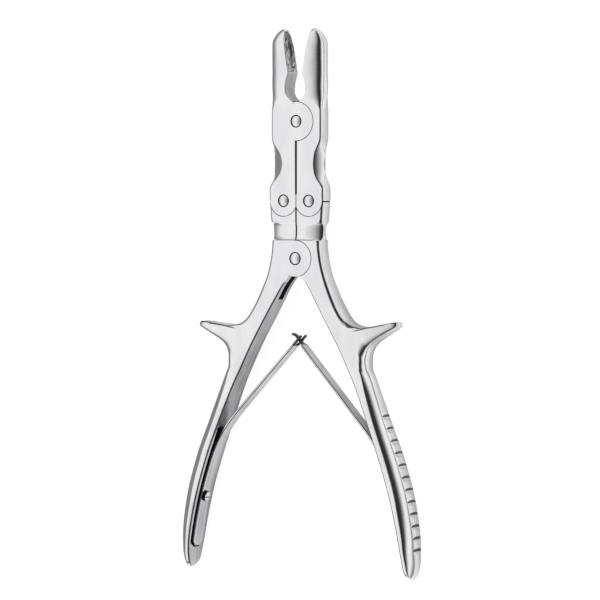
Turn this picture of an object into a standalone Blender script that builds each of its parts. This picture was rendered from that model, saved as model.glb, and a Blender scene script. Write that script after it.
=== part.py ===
"""Double-action bone rongeur: two handles and two cupped jaws on four pins, held open by two leaf springs.

It lies flat on its back. X runs across, +Y towards the jaws and +Z up, away from the table.
The origin is under the middle of the instrument, on the table. Lengths are in metres.
"""

import math

import bmesh
import bpy
import numpy as np
from mathutils import Matrix, Vector

# Linkage, seen from the front
GRIP_REACH = 0.1332  # main pivot down to the handle ends
LINK_RISE = 0.0243  # main pivot up to the two link pivots
LINK_SPREAD = 0.0061  # link pivot out from the centre line
JAW_RISE = 0.0335  # link pivots up to the jaw pivot
BITE_REACH = 0.0390  # jaw pivot up to the jaw tips
GRIP_SPREAD = 0.0542  # handle ends out from the centre line
CENTRE_SLIT = 0.0005  # slit between the left and the right side
RUNNING_GAP = 0.0003  # between faces that slide on each other

# Depths, front to back
GRIP_DEPTH = 0.0142
LOCK_DEPTH = 0.0084
LINK_DEPTH = 0.0068
NECK_DEPTH = 0.0060
CUP_DEPTH = 0.0086

# Joints
LOCK_RADIUS = 0.0076
LOCK_TONGUE = 0.0032
LINK_RADIUS = 0.0064
LINK_TONGUE = 0.0022
JAW_RADIUS = 0.0081
JAW_TONGUE = 0.0022
LOCK_PIN_RADIUS = 0.0023
PIN_RADIUS = 0.0022
CHEEK_PROUD = 0.00005  # the ground cheeks stand this little above the limbs
PIN_FIT = 0.00025
PIN_CROWN = 0.00025

# Jaws
LINK_WIDTH = 0.0135  # outer edge of a jaw at its link pivot
WAIST_WIDTH = 0.0122
WAIST_FLAT = 0.0072  # front flat at the waist
JAW_WIDTH = 0.0130  # outer edge beside the cup
RIM_ANGLE = math.radians(9.5)  # each cup's rim from the centre line
HEEL_RISE = 0.0216  # heel of the cup above the jaw pivot
CUP_LENGTH = 0.0128
CUP_HOLLOW = 0.0030
CUP_WIDTH = 0.0062

# Handles
GRIP_WIDTH = 0.0071
NECK_WIDTH = 0.0118
LOCK_WIDTH = 0.0125
REST_REACH = 0.0484  # tip of the thumb rest out from the centre line
REST_DROP = 0.0281  # tip of the thumb rest below the main pivot
REST_ROOT = 0.0100  # how far below its tip it springs from the handle
REST_HEIGHT = 0.0026
REST_DEPTH = 0.0056
NOTCHES = 12
NOTCH_PITCH = 0.00505
NOTCH_RADIUS = 0.0017
NOTCH_DEPTH = 0.0005
NOTCH_START = 0.0680  # first notch below the main pivot

# Leaf springs
LEAF_THICKNESS = 0.0012
LEAF_WIDTH = 0.0076
LEAF_TIP_WIDTH = 0.0054
LEAF_MEET = 0.0345  # where the two leaves cross, below the main pivot
LEAF_BEND_DROP = 0.0652  # where a leaf turns straight, below the main pivot
LEAF_BEND_SPREAD = 0.0268  # the same place, out from the centre line
LEAF_END_DROP = 0.1200  # fixed end of a leaf, below the main pivot
FORK_TAIL = 0.0026  # what runs on past the crossing
HOOK_TAIL = 0.0041
HOOK_DROP = 0.0009
LEAF_SINK = 0.0009  # depth of the channel it lies in
FORK_SLOT = 0.0032
HOOK_WIDTH = 0.0022
SCREW_DROP = 0.1025
SCREW_RADIUS = 0.0012
SCREW_HEAD = 0.0023
SCREW_LENGTH = 0.0042

# Places that follow from the sizes above
LENGTH = GRIP_REACH + LINK_RISE + JAW_RISE + BITE_REACH
MID = GRIP_DEPTH / 2
LOCK_Y = GRIP_REACH - LENGTH / 2
LINK_Y = LOCK_Y + LINK_RISE
JAW_Y = LINK_Y + JAW_RISE
HALF_SLIT = CENTRE_SLIT / 2
SHOULDER_Y = LINK_Y - 0.0002
ROUND = 32


def clear_scene():
    for obj in list(bpy.data.objects):
        bpy.data.objects.remove(obj, do_unlink=True)


def steel(name, grey, roughness):
    material = bpy.data.materials.new(name)
    material.use_nodes = True
    shader = material.node_tree.nodes["Principled BSDF"]
    shader.inputs["Base Color"].default_value = (grey, grey, grey, 1)
    shader.inputs["Metallic"].default_value = 1
    shader.inputs["Roughness"].default_value = roughness
    return material


def add_object(name, mesh_source, material=None):
    """Turns a bmesh into an object, its faces pointing out."""
    bmesh.ops.recalc_face_normals(mesh_source, faces=mesh_source.faces)
    mesh = bpy.data.meshes.new(name)
    mesh_source.to_mesh(mesh)
    mesh_source.free()
    obj = bpy.data.objects.new(name, mesh)
    bpy.context.scene.collection.objects.link(obj)
    if material:
        mesh.materials.append(material)
        mesh.shade_smooth()
        mesh.set_sharp_from_angle(angle=math.radians(35))
    else:
        obj.hide_render = True
        obj.display_type = "WIRE"
    return obj


def loft(name, rings, material=None):
    """A closed body through rings of equally many points."""
    shape = bmesh.new()
    loops = [[shape.verts.new(point) for point in ring] for ring in rings]
    for lower, upper in zip(loops, loops[1:]):
        for i in range(len(lower)):
            j = (i + 1) % len(lower)
            shape.faces.new((lower[i], lower[j], upper[j], upper[i]))
    shape.faces.new(loops[0])
    shape.faces.new(list(reversed(loops[-1])))
    return add_object(name, shape, material)


def disc_stack(name, centre, radius, layers, axis=Vector((0, 0, 1)), segments=ROUND, material=None):
    """Round discs on one axis, each given by its two heights on it."""
    shape = bmesh.new()
    turn = axis.to_track_quat("Z", "Y").to_matrix().to_4x4()
    for low, high in layers:
        place = Matrix.Translation(Vector(centre)) @ turn @ Matrix.Translation((0, 0, (low + high) / 2))
        bmesh.ops.create_cone(
            shape, cap_ends=True, segments=segments, radius1=radius, radius2=radius, depth=high - low, matrix=place
        )
    return add_object(name, shape, material)


def half_disc(name, side, centre, radius, half):
    """A disc cut off flat just short of the slit between the two sides."""
    shape = bmesh.new()
    place = Matrix.Translation(Vector(centre))
    bmesh.ops.create_cone(
        shape, cap_ends=True, segments=ROUND, radius1=radius, radius2=radius, depth=2 * half, matrix=place
    )
    everything = shape.verts[:] + shape.edges[:] + shape.faces[:]
    edge = (side * (HALF_SLIT + 0.00003), 0, 0)
    cut = bmesh.ops.bisect_plane(shape, geom=everything, plane_co=edge, plane_no=(-side, 0, 0), clear_outer=True)
    bmesh.ops.holes_fill(shape, edges=[item for item in cut["geom_cut"] if isinstance(item, bmesh.types.BMEdge)])
    return add_object(name, shape)


def block(name, centre, size, turn=0.0):
    shape = bmesh.new()
    place = Matrix.Translation(Vector(centre)) @ Matrix.Rotation(turn, 4, "Z") @ Matrix.Diagonal((*size, 1))
    bmesh.ops.create_cube(shape, size=1, matrix=place)
    return add_object(name, shape)


def combine(obj, other, operation):
    modifier = obj.modifiers.new(other.name, "BOOLEAN")
    modifier.operation = operation
    modifier.object = other
    modifier.solver = "EXACT"
    other.hide_render = True
    other.display_type = "WIRE"


def eased(stations, step):
    """Fills in rows between the stations. Each column follows a curve that never overshoots its stations."""
    table = np.array(stations, dtype=float)
    table = table[np.argsort(table[:, 0])]
    y = table[:, 0]
    gaps = np.diff(y)
    slopes = np.diff(table, axis=0) / gaps[:, None]
    tangents = np.zeros_like(table)
    tangents[0], tangents[-1] = slopes[0], slopes[-1]
    same_way = slopes[:-1] * slopes[1:] > 0
    total = np.where(same_way, slopes[:-1] + slopes[1:], 1)
    tangents[1:-1] = np.where(same_way, 2 * slopes[:-1] * slopes[1:] / total, 0)
    rows = []
    for k, gap in enumerate(gaps):
        count = max(1, math.ceil(gap / step))
        for i in range(count):
            t = i / count
            start = (1 + 2 * t) * (1 - t) ** 2 * table[k] + t * (1 - t) ** 2 * gap * tangents[k]
            end = t * t * (3 - 2 * t) * table[k + 1] + t * t * (t - 1) * gap * tangents[k + 1]
            rows.append(start + end)
            rows[-1][0] = y[k] + t * gap
    rows.append(table[-1])
    return rows


def limb_ring(side, y, inner, outer, half, round_x, round_z, inner_round=0.0004):
    """One section of a handle or jaw: flat front and back, a rounded outer edge and an eased inner one."""
    outer = max(outer, inner + 0.0004)
    round_x = min(round_x, outer - inner - 0.0002)
    round_z = min(round_z, half - 0.0001)
    inner_x = min(inner_round, outer - inner - round_x)
    inner_z = min(inner_round, half - 0.0001)
    front = []
    for angle in (math.pi / 2, math.pi / 4, 0):
        front.append((inner + inner_x * (1 - math.sin(angle)), half - inner_z * (1 - math.cos(angle))))
    for i in range(6):
        angle = math.pi / 2 * i / 5
        front.append((outer - round_x * (1 - math.sin(angle)), half - round_z * (1 - math.cos(angle))))
    back = [(x, -z) for x, z in reversed(front)]
    return [(side * x, y, MID + z) for x, z in front + back]


def grip_stations():
    """The handle from its end up to the link pivots: y, inner and outer edge, half depth, then its roundings."""
    half = GRIP_DEPTH / 2
    lock = LOCK_DEPTH / 2
    link = LINK_DEPTH / 2
    neck = NECK_DEPTH / 2
    crotch = LOCK_Y - LOCK_RADIUS + RUNNING_GAP
    # Share of the reach, share of the spread, width, half depth, rounding across and in depth, inner rounding
    curve = (
        (1.000, 0.998, 0.18 * GRIP_WIDTH, 0.20 * half, 0.0005, 0.0010, 0.0005),
        (0.993, 0.998, 0.36 * GRIP_WIDTH, 0.42 * half, 0.0010, 0.0020, 0.0008),
        (0.979, 1.000, 0.58 * GRIP_WIDTH, 0.66 * half, 0.0018, 0.0033, 0.0012),
        (0.946, 1.003, 0.73 * GRIP_WIDTH, 0.84 * half, 0.0024, 0.0036, 0.0012),
        (0.893, 0.992, 0.83 * GRIP_WIDTH, 0.96 * half, 0.0026, 0.0038, 0.0012),
        (0.766, 0.937, 1.00 * GRIP_WIDTH, half, 0.0030, 0.0038, 0.0012),
        (0.640, 0.845, 1.06 * GRIP_WIDTH, half, 0.0030, 0.0038, 0.0011),
        (0.514, 0.727, 1.06 * GRIP_WIDTH, 0.92 * half, 0.0030, 0.0036, 0.0009),
        (0.418, 0.634, 1.12 * GRIP_WIDTH, 0.83 * half, 0.0028, 0.0032, 0.0006),
        (0.311, 0.520, 1.36 * GRIP_WIDTH, 0.76 * half, 0.0024, 0.0026, 0.0004),
        (0.183, 0.338, 1.30 * GRIP_WIDTH, 0.70 * half, 0.0015, 0.0018, 0.0004),
        (0.134, 0.268, 1.32 * GRIP_WIDTH, 0.67 * half, 0.0012, 0.0015, 0.0004),
    )
    rows = []
    for reach, spread, width, depth, round_x, round_z, inner_round in curve:
        centre = spread * GRIP_SPREAD
        y = LOCK_Y - reach * GRIP_REACH
        rows.append((y, centre - width / 2, centre + width / 2, depth, round_x, round_z, inner_round))
    sharp = (0.0006, 0.0006, 0.0003)
    rows += [
        (crotch - 0.0036, 0.0056, LOCK_WIDTH + 0.0035, lock + 0.0003, 0.0009, 0.0010, 0.0003),
        (crotch, 0.0027, LOCK_WIDTH + 0.0021, lock, *sharp),
        (LOCK_Y, HALF_SLIT, LOCK_WIDTH, lock, *sharp),
        (LOCK_Y + LOCK_RADIUS + 0.0003, HALF_SLIT, LOCK_WIDTH - 0.0005, lock, *sharp),
        (LOCK_Y + LOCK_RADIUS + 0.0015, HALF_SLIT, NECK_WIDTH, neck, 0.0042, 0.0024, 0.0003),
        (LINK_Y - LINK_RADIUS - 0.0045, HALF_SLIT, NECK_WIDTH, neck, 0.0042, 0.0024, 0.0003),
        (LINK_Y - LINK_RADIUS - 0.0028, HALF_SLIT, NECK_WIDTH + 0.0003, link, *sharp),
        (LINK_Y - LINK_RADIUS / 2, HALF_SLIT, LINK_WIDTH - 0.0004, link, *sharp),
        (SHOULDER_Y, HALF_SLIT, LINK_WIDTH, link, *sharp),
    ]
    return rows


def grip_face(y):
    """Inner edge of the handle at a height, and its slope there."""
    rows = eased(grip_stations(), 0.0015)
    heights = [row[0] for row in rows]
    edges = [row[1] for row in rows]
    slope = (np.interp(y + 0.001, heights, edges) - np.interp(y - 0.001, heights, edges)) / 0.002
    return float(np.interp(y, heights, edges)), float(slope)


def thumb_rest(side):
    """The arm that stands out of a handle, with flat front and back."""
    tip_y = LOCK_Y - REST_DROP
    tip = REST_DEPTH / 2
    root = grip_face(tip_y - REST_ROOT)[0] + 0.0014
    arm = REST_REACH - root
    # Place across, drop of the upper and the lower edge from the tip, half depth, edge rounding
    rows = (
        (root, -0.28 * REST_ROOT, REST_ROOT, 0.0040, 0.0008),
        (root + 0.14 * arm, 0.0000, 1.65 * REST_ROOT, 0.0050, 0.0010),
        (root + 0.31 * arm, 0.0005, 1.20 * REST_ROOT, 0.0049, 0.0012),
        (root + 0.43 * arm, 0.0006, 0.86 * REST_ROOT, 0.0046, 0.0013),
        (root + 0.59 * arm, 0.0002, 0.62 * REST_ROOT, 0.0042, 0.0013),
        (root + 0.79 * arm, -0.0004, 0.44 * REST_ROOT, 0.0036, 0.0012),
        (REST_REACH - 0.0010, -0.0010, REST_HEIGHT - 0.0010, tip, 0.0009),
        (REST_REACH, -0.0006, REST_HEIGHT - 0.0014, tip - 0.0006, 0.0006),
    )
    rings = []
    for x, above, below, half, edge in eased(rows, 0.0025):
        top = tip_y - above
        bottom = tip_y - below
        edge = min(edge, (top - bottom) / 3, half / 2)
        front = [(bottom, half - edge), (bottom + edge * 0.3, half - edge * 0.3), (bottom + edge, half)]
        front += [(top - edge, half), (top - edge * 0.3, half - edge * 0.3), (top, half - edge)]
        ring = front + [(y, -z) for y, z in reversed(front)]
        rings.append([(side * x, y, MID + z) for y, z in ring])
    return loft(f"cutter_rest_{side}", rings)


def spring_channel(side):
    """The channel milled in the inner side of a handle for its leaf."""
    rings = []
    half = LEAF_WIDTH / 2 + 0.0009
    top = LOCK_Y - 0.64 * LEAF_END_DROP
    bottom = LOCK_Y - LEAF_END_DROP - 0.0009
    for y in np.linspace(bottom, top, 12):
        face = grip_face(y)[0]
        inner, outer = face - 0.003, face + LEAF_SINK
        corners = ((inner, -half), (outer, -half), (outer, half), (inner, half))
        rings.append([(side * x, y, MID + z) for x, z in corners])
    return loft(f"cutter_channel_{side}", rings)


def grip_notches(side):
    """Shallow thumb-wide notches across the outer spine of a handle."""
    rows = eased(grip_stations(), 0.0015)
    heights = [row[0] for row in rows]
    spine = [row[2] for row in rows]
    cutters = bmesh.new()
    for k in range(NOTCHES):
        y = LOCK_Y - NOTCH_START - k * NOTCH_PITCH
        x = float(np.interp(y, heights, spine)) + NOTCH_RADIUS - NOTCH_DEPTH
        place = Matrix.Translation((side * x, y, MID))
        bmesh.ops.create_cone(
            cutters,
            cap_ends=True,
            segments=12,
            radius1=NOTCH_RADIUS,
            radius2=NOTCH_RADIUS,
            depth=GRIP_DEPTH,
            matrix=place,
        )
    return add_object(f"cutter_notches_{side}", cutters)


def screw_place(side):
    """Centre of the screw hole on the handle's inner face, and the way out of it."""
    y = LOCK_Y - SCREW_DROP
    face, slope = grip_face(y)
    out = Vector((-side, slope, 0)).normalized()
    return Vector((side * face, y, MID)), out


def build_handle(side, name, material):
    handle = loft(name, [limb_ring(side, *row) for row in eased(grip_stations(), 0.0042)], material)
    combine(handle, thumb_rest(side), "UNION")
    link = (side * LINK_SPREAD, LINK_Y, MID)
    lock = (0, LOCK_Y, MID)
    far = GRIP_DEPTH
    tongue = LINK_TONGUE / 2
    combine(handle, half_disc(f"link_tongue_{side}", side, link, LINK_RADIUS - 0.0002, LINK_TONGUE), "UNION")
    if side > 0:
        # The right handle is the one that passes through: its middle is a tongue at the main pivot.
        reach = LOCK_RADIUS - 0.0002
        combine(handle, disc_stack("lock_tongue", lock, reach, [(-LOCK_TONGUE, LOCK_TONGUE)]), "UNION")
        pockets = [(-far, -LOCK_TONGUE / 2), (LOCK_TONGUE / 2, far)]
        combine(handle, disc_stack("lock_pockets", lock, LOCK_RADIUS + RUNNING_GAP, pockets), "DIFFERENCE")
    else:
        # The left handle has a cheek on either side of that tongue.
        cheek = LOCK_DEPTH / 2 + CHEEK_PROUD
        slot = LOCK_TONGUE / 2 + RUNNING_GAP
        combine(handle, disc_stack("lock_cheeks", lock, LOCK_RADIUS, [(-cheek, cheek)]), "UNION")
        combine(handle, disc_stack("lock_slot", lock, LOCK_RADIUS + RUNNING_GAP, [(-slot, slot)]), "DIFFERENCE")
        mouth = block("lock_mouth", (-0.0052, LOCK_Y - 0.0128, MID), (0.0056, 0.0125, 2 * slot), math.radians(-27))
        combine(handle, mouth, "DIFFERENCE")
    pockets = [(-far, -tongue), (tongue, far)]
    combine(handle, disc_stack(f"link_pockets_{side}", link, LINK_RADIUS + RUNNING_GAP, pockets), "DIFFERENCE")
    combine(handle, disc_stack(f"link_bore_{side}", link, PIN_RADIUS + PIN_FIT, [(-far, far)]), "DIFFERENCE")
    combine(handle, disc_stack(f"lock_bore_{side}", lock, LOCK_PIN_RADIUS + PIN_FIT, [(-far, far)]), "DIFFERENCE")
    combine(handle, spring_channel(side), "DIFFERENCE")
    centre, out = screw_place(side)
    depth = SCREW_LENGTH + RUNNING_GAP
    hole = disc_stack(f"screw_hole_{side}", centre, SCREW_RADIUS + PIN_FIT, [(-depth, 0.003)], out, 16)
    combine(handle, hole, "DIFFERENCE")
    combine(handle, grip_notches(side), "DIFFERENCE")
    return handle


def jaw_stations():
    """The jaw from its link pivot up to its tip, in the same columns as the handle."""
    link = LINK_DEPTH / 2
    cup = CUP_DEPTH / 2
    sharp = (0.0006, 0.0006, 0.0003)
    waist_y = LINK_Y + 0.46 * JAW_RISE
    waist = WAIST_WIDTH - WAIST_FLAT
    throat = JAW_Y + JAW_RADIUS + RUNNING_GAP
    heel = JAW_Y + HEEL_RISE
    tip = JAW_Y + BITE_REACH

    def rim(y):
        return (y - JAW_Y) * math.tan(RIM_ANGLE)

    return [
        (LINK_Y, HALF_SLIT, LINK_WIDTH, link, *sharp),
        (LINK_Y + 0.0050, HALF_SLIT, LINK_WIDTH, link, *sharp),
        (waist_y - 0.0075, HALF_SLIT, LINK_WIDTH - 0.0007, link, 0.65 * waist, 0.0020, 0.0003),
        (waist_y - 0.0040, HALF_SLIT, WAIST_WIDTH, link, 0.90 * waist, 0.0027, 0.0003),
        (waist_y, HALF_SLIT, WAIST_WIDTH, link, waist, 0.0030, 0.0003),
        (waist_y + 0.0045, HALF_SLIT, WAIST_WIDTH, link, 0.84 * waist, 0.0027, 0.0003),
        (JAW_Y - 0.0095, HALF_SLIT, WAIST_WIDTH, link, 0.40 * waist, 0.0016, 0.0003),
        (JAW_Y - 0.0070, HALF_SLIT, WAIST_WIDTH, link, *sharp),
        (JAW_Y + 0.0045, HALF_SLIT, WAIST_WIDTH, link, *sharp),
        (throat - 0.0022, HALF_SLIT, WAIST_WIDTH, link + 0.0001, 0.0012, 0.0012, 0.0003),
        (throat, 0.0017, WAIST_WIDTH + 0.0002, link + 0.0003, 0.0024, 0.0024, 0.0005),
        (throat + 0.0018, 0.0037, WAIST_WIDTH + 0.0004, link + 0.0006, 0.0034, 0.0031, 0.0010),
        (heel - 0.0056, rim(heel - 0.0056) + 0.0022, JAW_WIDTH, cup, 0.0044, 0.0038, 0.0012),
        (heel, rim(heel), JAW_WIDTH, cup, 0.0046, 0.0040, 0.0004),
        (tip - 0.0085, rim(tip - 0.0085), JAW_WIDTH, 0.98 * cup, 0.0044, 0.0039, 0.0004),
        (tip - 0.0055, rim(tip - 0.0055), 0.967 * JAW_WIDTH, 0.90 * cup, 0.0042, 0.0036, 0.0004),
        (tip - 0.0030, rim(tip - 0.0030), 0.865 * JAW_WIDTH, 0.75 * cup, 0.0030, 0.0029, 0.0004),
        (tip - 0.0010, rim(tip - 0.0010), 0.715 * JAW_WIDTH, 0.50 * cup, 0.0016, 0.0019, 0.0004),
        (tip, rim(tip) + 0.0003, 0.64 * JAW_WIDTH, 0.24 * cup, 0.0006, 0.0008, 0.0003),
    ]


def cup_cutter(side):
    """The spoon-shaped hollow of a cup, open towards the other jaw."""
    shape = bmesh.new()
    middle = JAW_Y + HEEL_RISE + 0.51 * (BITE_REACH - HEEL_RISE)
    rim = (middle - JAW_Y) * math.tan(RIM_ANGLE)
    place = Matrix.Translation((side * rim, middle, MID)) @ Matrix.Rotation(-side * RIM_ANGLE, 4, "Z")
    place = place @ Matrix.Diagonal((CUP_HOLLOW, CUP_LENGTH / 2, CUP_WIDTH / 2, 1))
    bmesh.ops.create_uvsphere(shape, u_segments=20, v_segments=12, radius=1, matrix=place)
    return add_object(f"cutter_cup_{side}", shape)


def build_jaw(side, name, material):
    jaw = loft(name, [limb_ring(side, *row) for row in eased(jaw_stations(), 0.0030)], material)
    link = (side * LINK_SPREAD, LINK_Y, MID)
    pivot = (0, JAW_Y, MID)
    far = GRIP_DEPTH
    cheek = LINK_DEPTH / 2 + CHEEK_PROUD
    if side > 0:
        # The right jaw is the tongue at the jaw pivot.
        reach = JAW_RADIUS - RUNNING_GAP
        combine(jaw, disc_stack("jaw_tongue", pivot, reach, [(-JAW_TONGUE, JAW_TONGUE)]), "UNION")
        pockets = [(-far, -JAW_TONGUE / 2), (JAW_TONGUE / 2, far)]
        combine(jaw, disc_stack("jaw_pockets", pivot, JAW_RADIUS + RUNNING_GAP, pockets), "DIFFERENCE")
    else:
        slot = JAW_TONGUE / 2 + RUNNING_GAP
        combine(jaw, disc_stack("jaw_cheeks", pivot, JAW_RADIUS, [(-cheek, cheek)]), "UNION")
        combine(jaw, disc_stack("jaw_slot", pivot, JAW_RADIUS + RUNNING_GAP, [(-slot, slot)]), "DIFFERENCE")
    slot = LINK_TONGUE / 2 + RUNNING_GAP
    combine(jaw, half_disc(f"link_cheeks_{side}", side, link, LINK_RADIUS, cheek), "UNION")
    combine(jaw, disc_stack(f"link_slot_{side}", link, LINK_RADIUS + RUNNING_GAP, [(-slot, slot)]), "DIFFERENCE")
    combine(jaw, disc_stack(f"jaw_link_bore_{side}", link, PIN_RADIUS + PIN_FIT, [(-far, far)]), "DIFFERENCE")
    clearance = PIN_FIT if side < 0 else 2 * PIN_FIT
    combine(jaw, disc_stack(f"jaw_bore_{side}", pivot, PIN_RADIUS + clearance, [(-far, far)]), "DIFFERENCE")
    combine(jaw, cup_cutter(side), "DIFFERENCE")
    return jaw


def build_pin(name, place, radius, depth, material):
    """A riveted pin, its ends slightly crowned."""
    half = depth / 2 + PIN_CROWN
    edge = 0.0003
    profile = ((0.55 * radius, half), (radius - edge, half - 0.4 * PIN_CROWN), (radius, half - PIN_CROWN))
    profile += tuple((r, -z) for r, z in reversed(profile))
    rings = []
    for r, z in profile:
        ring = []
        for i in range(ROUND):
            angle = 2 * math.pi * i / ROUND
            ring.append((place[0] + r * math.cos(angle), place[1] + r * math.sin(angle), MID + z))
        rings.append(ring)
    return loft(name, rings, material)


def leaf_path():
    """Middle of the right leaf, from its fixed end up to where it crosses the other, then on to its end."""
    points = []
    for y in np.linspace(LOCK_Y - LEAF_END_DROP, LOCK_Y - 0.70 * LEAF_END_DROP, 9):
        points.append(Vector((grip_face(y)[0], y)))
    meet = Vector((0, LOCK_Y - LEAF_MEET))
    bend = Vector((LEAF_BEND_SPREAD, LOCK_Y - LEAF_BEND_DROP))
    start = points[-1]
    run = (start - points[-2]).normalized()
    aim = (meet - bend).normalized()
    first, second = start + run * 0.0085, bend - aim * 0.0085
    for i in range(1, 7):
        t = i / 6
        near = (1 - t) ** 3 * start + 3 * t * (1 - t) ** 2 * first
        points.append(near + 3 * t * t * (1 - t) * second + t**3 * bend)
    points += [bend.lerp(meet, 0.35), bend.lerp(meet, 0.70), bend.lerp(meet, 0.88), meet]
    return points, aim


def build_leaf(side, name, material):
    """A flat steel leaf. The left one ends in a fork, the right one in a narrow tongue that hooks over."""
    path, aim = leaf_path()
    up = Vector((aim.y, -aim.x))
    meet = path[-1]
    if side > 0:
        path += [
            meet + aim * 0.55 * HOOK_TAIL,
            meet + aim * 0.80 * HOOK_TAIL - up * 0.35 * HOOK_DROP,
            meet + aim * HOOK_TAIL - up * HOOK_DROP,
        ]
    else:
        path += [meet + aim * 0.5 * FORK_TAIL, meet + aim * FORK_TAIL]
    total = len(path)
    rings = []
    for k, point in enumerate(path):
        before, after = path[max(k - 1, 0)], path[min(k + 1, total - 1)]
        along = (after - before).normalized()
        across = Vector((along.y, -along.x))
        share = k / (total - 1)
        half = (LEAF_WIDTH * (1 - share) + LEAF_TIP_WIDTH * share) / 2
        thick = LEAF_THICKNESS / 2 * (1 - 0.2 * share)
        if side > 0 and k >= total - 5:
            half = HOOK_WIDTH / 2
        corners = ((thick, half), (-thick, half), (-thick, -half), (thick, -half))
        ring = []
        for offset, z in corners:
            place = point + across * offset
            ring.append((side * place.x, place.y, MID + z))
        rings.append(ring)
    leaf = loft(name, rings, material)
    centre, out = screw_place(side)
    hole = disc_stack(f"leaf_hole_{side}", centre, SCREW_RADIUS + PIN_FIT, [(-0.003, 0.003)], out, 16)
    combine(leaf, hole, "DIFFERENCE")
    if side < 0:
        crossing = Vector((-path[-3].x, path[-3].y, MID))
        middle = crossing + Vector((-aim.x, aim.y, 0)) * 0.0020
        turn = math.atan2(aim.y, -aim.x)
        combine(leaf, block("fork_slot", middle, (0.0094, 0.006, FORK_SLOT), turn), "DIFFERENCE")
    return leaf


def build_screw(side, name, material):
    """A domed screw that holds the leaf in its channel, with a cross slot."""
    centre, out = screw_place(side)
    seat = LEAF_THICKNESS / 2 + RUNNING_GAP
    turn = out.to_track_quat("Z", "Y").to_matrix()
    profile = (
        (SCREW_RADIUS * 0.7, -SCREW_LENGTH),
        (SCREW_RADIUS, -SCREW_LENGTH + 0.0004),
        (SCREW_RADIUS, seat),
        (SCREW_HEAD, seat),
        (SCREW_HEAD, seat + 0.0005),
        (SCREW_HEAD * 0.82, seat + 0.0010),
        (SCREW_HEAD * 0.45, seat + 0.0013),
    )
    rings = []
    for radius, height in profile:
        ring = []
        for i in range(20):
            angle = 2 * math.pi * i / 20
            ring.append(centre + turn @ Vector((radius * math.cos(angle), radius * math.sin(angle), height)))
        rings.append(ring)
    screw = loft(name, rings, material)
    place = centre + out * (seat + 0.0013)
    groove = block(f"screw_slot_{side}", place, (0.0012, 0.0006, 2 * SCREW_HEAD + 0.001), math.atan2(out.y, out.x))
    combine(screw, groove, "DIFFERENCE")
    return screw


def main():
    clear_scene()
    satin = steel("satin_steel", 0.62, 0.32)
    polished = steel("polished_steel", 0.72, 0.16)
    spring_steel = steel("spring_steel", 0.58, 0.25)
    for side, word in ((-1, "left"), (1, "right")):
        build_handle(side, f"{word}_handle", satin)
        build_jaw(side, f"{word}_jaw", satin)
        build_leaf(side, f"{word}_spring", spring_steel)
        build_screw(side, f"{word}_spring_screw", polished)
        build_pin(f"{word}_link_pin", (side * LINK_SPREAD, LINK_Y), PIN_RADIUS, LINK_DEPTH, polished)
    build_pin("main_pin", (0, LOCK_Y), LOCK_PIN_RADIUS, LOCK_DEPTH, polished)
    build_pin("jaw_pin", (0, JAW_Y), PIN_RADIUS, LINK_DEPTH, polished)


main()
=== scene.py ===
import math

import bmesh
import bpy
from mathutils import Matrix, Vector


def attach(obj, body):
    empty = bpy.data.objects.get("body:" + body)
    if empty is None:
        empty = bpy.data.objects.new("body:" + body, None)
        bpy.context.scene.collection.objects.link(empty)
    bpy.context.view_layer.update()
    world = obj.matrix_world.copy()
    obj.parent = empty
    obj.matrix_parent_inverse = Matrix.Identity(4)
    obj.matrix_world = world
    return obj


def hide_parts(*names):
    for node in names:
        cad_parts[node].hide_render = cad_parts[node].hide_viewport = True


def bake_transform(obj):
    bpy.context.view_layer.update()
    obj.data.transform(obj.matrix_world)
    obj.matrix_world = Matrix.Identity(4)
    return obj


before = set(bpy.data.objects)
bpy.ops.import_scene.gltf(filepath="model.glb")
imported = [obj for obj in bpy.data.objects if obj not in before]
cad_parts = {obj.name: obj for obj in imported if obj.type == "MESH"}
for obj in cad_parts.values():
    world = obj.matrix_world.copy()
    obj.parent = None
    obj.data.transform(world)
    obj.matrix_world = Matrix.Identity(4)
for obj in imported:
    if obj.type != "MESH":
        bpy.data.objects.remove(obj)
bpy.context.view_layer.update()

# Handles
# The two handles are drop-forged stainless steel, milled flat at the joints and brushed to a fine satin.
# Each has a thumb rest, a tongue for its link pivot, a channel for its leaf spring and a notched outer spine.
# The left one carries the two cheeks of the main joint and the right one the tongue between them.

# In metres: the height of the middle plane above the table, the main and the jaw pivot on the centre line,
# the right link pivot, which the left one mirrors, and half of the slit between the two sides
MID = 0.0071
MAIN_Y, JAW_Y = 0.0182, 0.0760
LINK_X, LINK_Y = 0.0061, 0.0425
SLIT = 0.00025
# The main joint: half depth, and the radii of the tongue, the cheeks, the room milled round them and the bore
LOCK_HALF = 0.0042
LOCK_TONGUE, LOCK_CHEEK, LOCK_POCKET, LOCK_BORE = 0.0074, 0.0076, 0.0079, 0.0028
# The link joints: the radii of the tongue, the room round it and the bore, which the jaw joint shares
LINK_TONGUE, LINK_POCKET, LINK_BORE = 0.0062, 0.0067, 0.0027
# Half depth of a cutter that goes right through, reach of a deep cut, and overlap of welded discs
THROUGH, DEEP, LAP = 0.0200, 0.0100, 0.00002

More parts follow.
